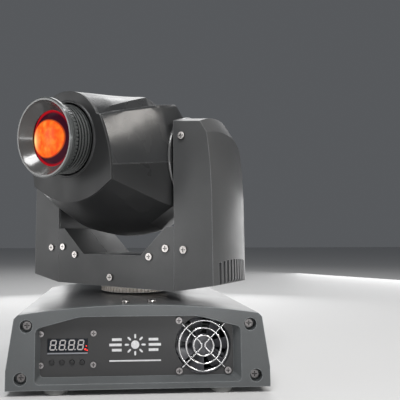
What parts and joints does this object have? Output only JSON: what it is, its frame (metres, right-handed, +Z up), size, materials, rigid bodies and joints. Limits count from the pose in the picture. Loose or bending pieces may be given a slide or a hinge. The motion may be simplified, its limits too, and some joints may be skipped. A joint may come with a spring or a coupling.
{
  "type": "moving-head spot light",
  "caption": "Compact moving-head spot: square base with a control panel, panning yoke, tilting head with a focus barrel.",
  "frame": {"origin": "on the floor under the feet, on the pan axis", "axes": "+Z up along the pan axis, control panel facing -Y"},
  "size_m": [0.2673, 0.2726, 0.3314],
  "materials": {
    "cover_plastic": "moulded charcoal plastic, fine grain",
    "head_plastic": "satin charcoal plastic",
    "frame_plastic": "blue-grey moulded plastic, satin",
    "painted_steel": "charcoal powder coat",
    "panel_metal": "dark satin panel",
    "steel": "zinc-plated steel",
    "chrome": "polished wire",
    "rubber": "black rubber",
    "black_plastic": "black moulded plastic",
    "lens_ring": "semi-gloss black",
    "display": "dark window over a four digit display",
    "circuit_board": "green board",
    "aluminium": "machined aluminium",
    "motor_metal": "black motor body",
    "glass": "coated lens",
    "wheel_metal": "thin satin disc"
  },
  "bodies": {
    "base": {"base_top_cover": "painted_steel", "base_bottom_plate": "painted_steel", "base_front_frame": "frame_plastic", "base_rear_frame": "frame_plastic", "front_panel": "panel_metal", "rear_panel": "panel_metal", "display_module": "display", "display_board": "circuit_board", "fan_guard": "chrome", "base_fan_frame": "black_plastic", "rubber_feet": "rubber", "frame_screws": "steel", "panel_screws": "steel", "cover_screws": "steel", "power_inlet": "black_plastic", "fuse_holder": "black_plastic", "power_supply": "aluminium", "dmx_in_socket": "black_plastic", "dmx_out_socket": "black_plastic", "main_board": "circuit_board", "pan_motor": "motor_metal", "pan_belt": "rubber", "pan_bearing": "steel"},
    "base_fan": {"base_fan_rotor": "black_plastic"},
    "pan_motor_drive": {"pan_motor_pulley": "aluminium"},
    "yoke": {"pan_shaft": "steel", "pan_pulley": "aluminium", "pan_collar": "black_plastic", "yoke_frame": "painted_steel", "bridge_front_cover": "cover_plastic", "bridge_rear_cover": "cover_plastic", "left_arm_cover": "cover_plastic", "right_arm_cover": "cover_plastic", "yoke_screws": "steel", "tilt_bearings": "steel", "tilt_motor": "motor_metal", "tilt_belt": "rubber"},
    "tilt_motor_drive": {"tilt_motor_pulley": "aluminium"},
    "head": {"head_upper_shell": "head_plastic", "head_lower_shell": "head_plastic", "head_front_plate": "head_plastic", "head_rear_grille": "black_plastic", "head_chassis": "painted_steel", "tilt_shafts": "steel", "tilt_pulley": "aluminium", "wheel_motors": "motor_metal", "led_engine": "aluminium", "heat_sink": "aluminium", "head_fan_frame": "black_plastic", "head_screws": "steel"},
    "lens_carriage": {"front_lens": "glass", "lens_cell": "black_plastic"},
    "focus_ring_body": {"focus_ring": "lens_ring"},
    "gobo_wheel_body": {"gobo_wheel": "wheel_metal"},
    "colour_wheel_body": {"colour_wheel": "wheel_metal"},
    "head_fan": {"head_fan_rotor": "black_plastic"},
    "button_1": {"menu_button_1": "black_plastic"},
    "button_2": {"menu_button_2": "black_plastic"},
    "button_3": {"menu_button_3": "black_plastic"},
    "button_4": {"menu_button_4": "black_plastic"}
  },
  "joints": [
    {"name": "pan", "type": "hinge", "parent": "base", "child": "yoke", "pos_m": [0, 0, 0.09], "axis": [0, 0, 1], "range_deg": [-230.6, 309.4]},
    {"name": "tilt", "type": "hinge", "parent": "yoke", "child": "head", "pos_m": [0, 0, 0.245], "axis": [0.7727, -0.6347, 0], "range_deg": [-197.3, 17.7]},
    {"name": "pan_motor_spin", "type": "hinge", "parent": "base", "child": "pan_motor_drive", "pos_m": [-0.062, 0.042, 0.055], "axis": [0, 0, 1], "range_deg": [-923, 1238]},
    {"name": "tilt_motor_spin", "type": "hinge", "parent": "yoke", "child": "tilt_motor_drive", "pos_m": [0.0935, -0.0768, 0.166], "axis": [0.7727, -0.6347, 0], "range_deg": [-678, 62]},
    {"name": "focus_slide", "type": "slide", "parent": "head", "child": "lens_carriage", "axis": [-0.6296, -0.7665, -0.1271], "range_m": [-0.005, 0.004]},
    {"name": "focus_turn", "type": "hinge", "parent": "lens_carriage", "child": "focus_ring_body", "pos_m": [-0.09079, -0.11053, 0.25975], "axis": [-0.6296, -0.7665, -0.1271], "range_deg": [-151, 121]},
    {"name": "gobo_wheel_spin", "type": "hinge", "parent": "head", "child": "gobo_wheel_body", "pos_m": [-0.01282, -0.0156, 0.24524], "axis": [-0.6296, -0.7665, -0.1271], "continuous": true},
    {"name": "colour_wheel_spin", "type": "hinge", "parent": "head", "child": "colour_wheel_body", "pos_m": [-0.00652, -0.00794, 0.24651], "axis": [-0.6296, -0.7665, -0.1271], "continuous": true},
    {"name": "head_fan_spin", "type": "hinge", "parent": "head", "child": "head_fan", "pos_m": [0.03665, 0.04461, 0.26651], "axis": [-0.6296, -0.7665, -0.1271], "continuous": true},
    {"name": "base_fan_spin", "type": "hinge", "parent": "base", "child": "base_fan", "pos_m": [0.0658, -0.106, 0.0452], "axis": [0, -1, 0], "continuous": true},
    {"name": "button_1_press", "type": "slide", "parent": "base", "child": "button_1", "axis": [0, 1, 0], "range_m": [0, 0.001], "stiffness_N_per_m": 1500},
    {"name": "button_2_press", "type": "slide", "parent": "base", "child": "button_2", "axis": [0, 1, 0], "range_m": [0, 0.001], "stiffness_N_per_m": 1500},
    {"name": "button_3_press", "type": "slide", "parent": "base", "child": "button_3", "axis": [0, 1, 0], "range_m": [0, 0.001], "stiffness_N_per_m": 1500},
    {"name": "button_4_press", "type": "slide", "parent": "base", "child": "button_4", "axis": [0, 1, 0], "range_m": [0, 0.001], "stiffness_N_per_m": 1500}
  ],
  "couplings": [
    {"joint": "pan_motor_spin", "follows": "pan", "ratio": 4},
    {"joint": "tilt_motor_spin", "follows": "tilt", "ratio": 3.4286},
    {"joint": "focus_turn", "follows": "focus_slide", "rad_per_m": 523.6}
  ]
}
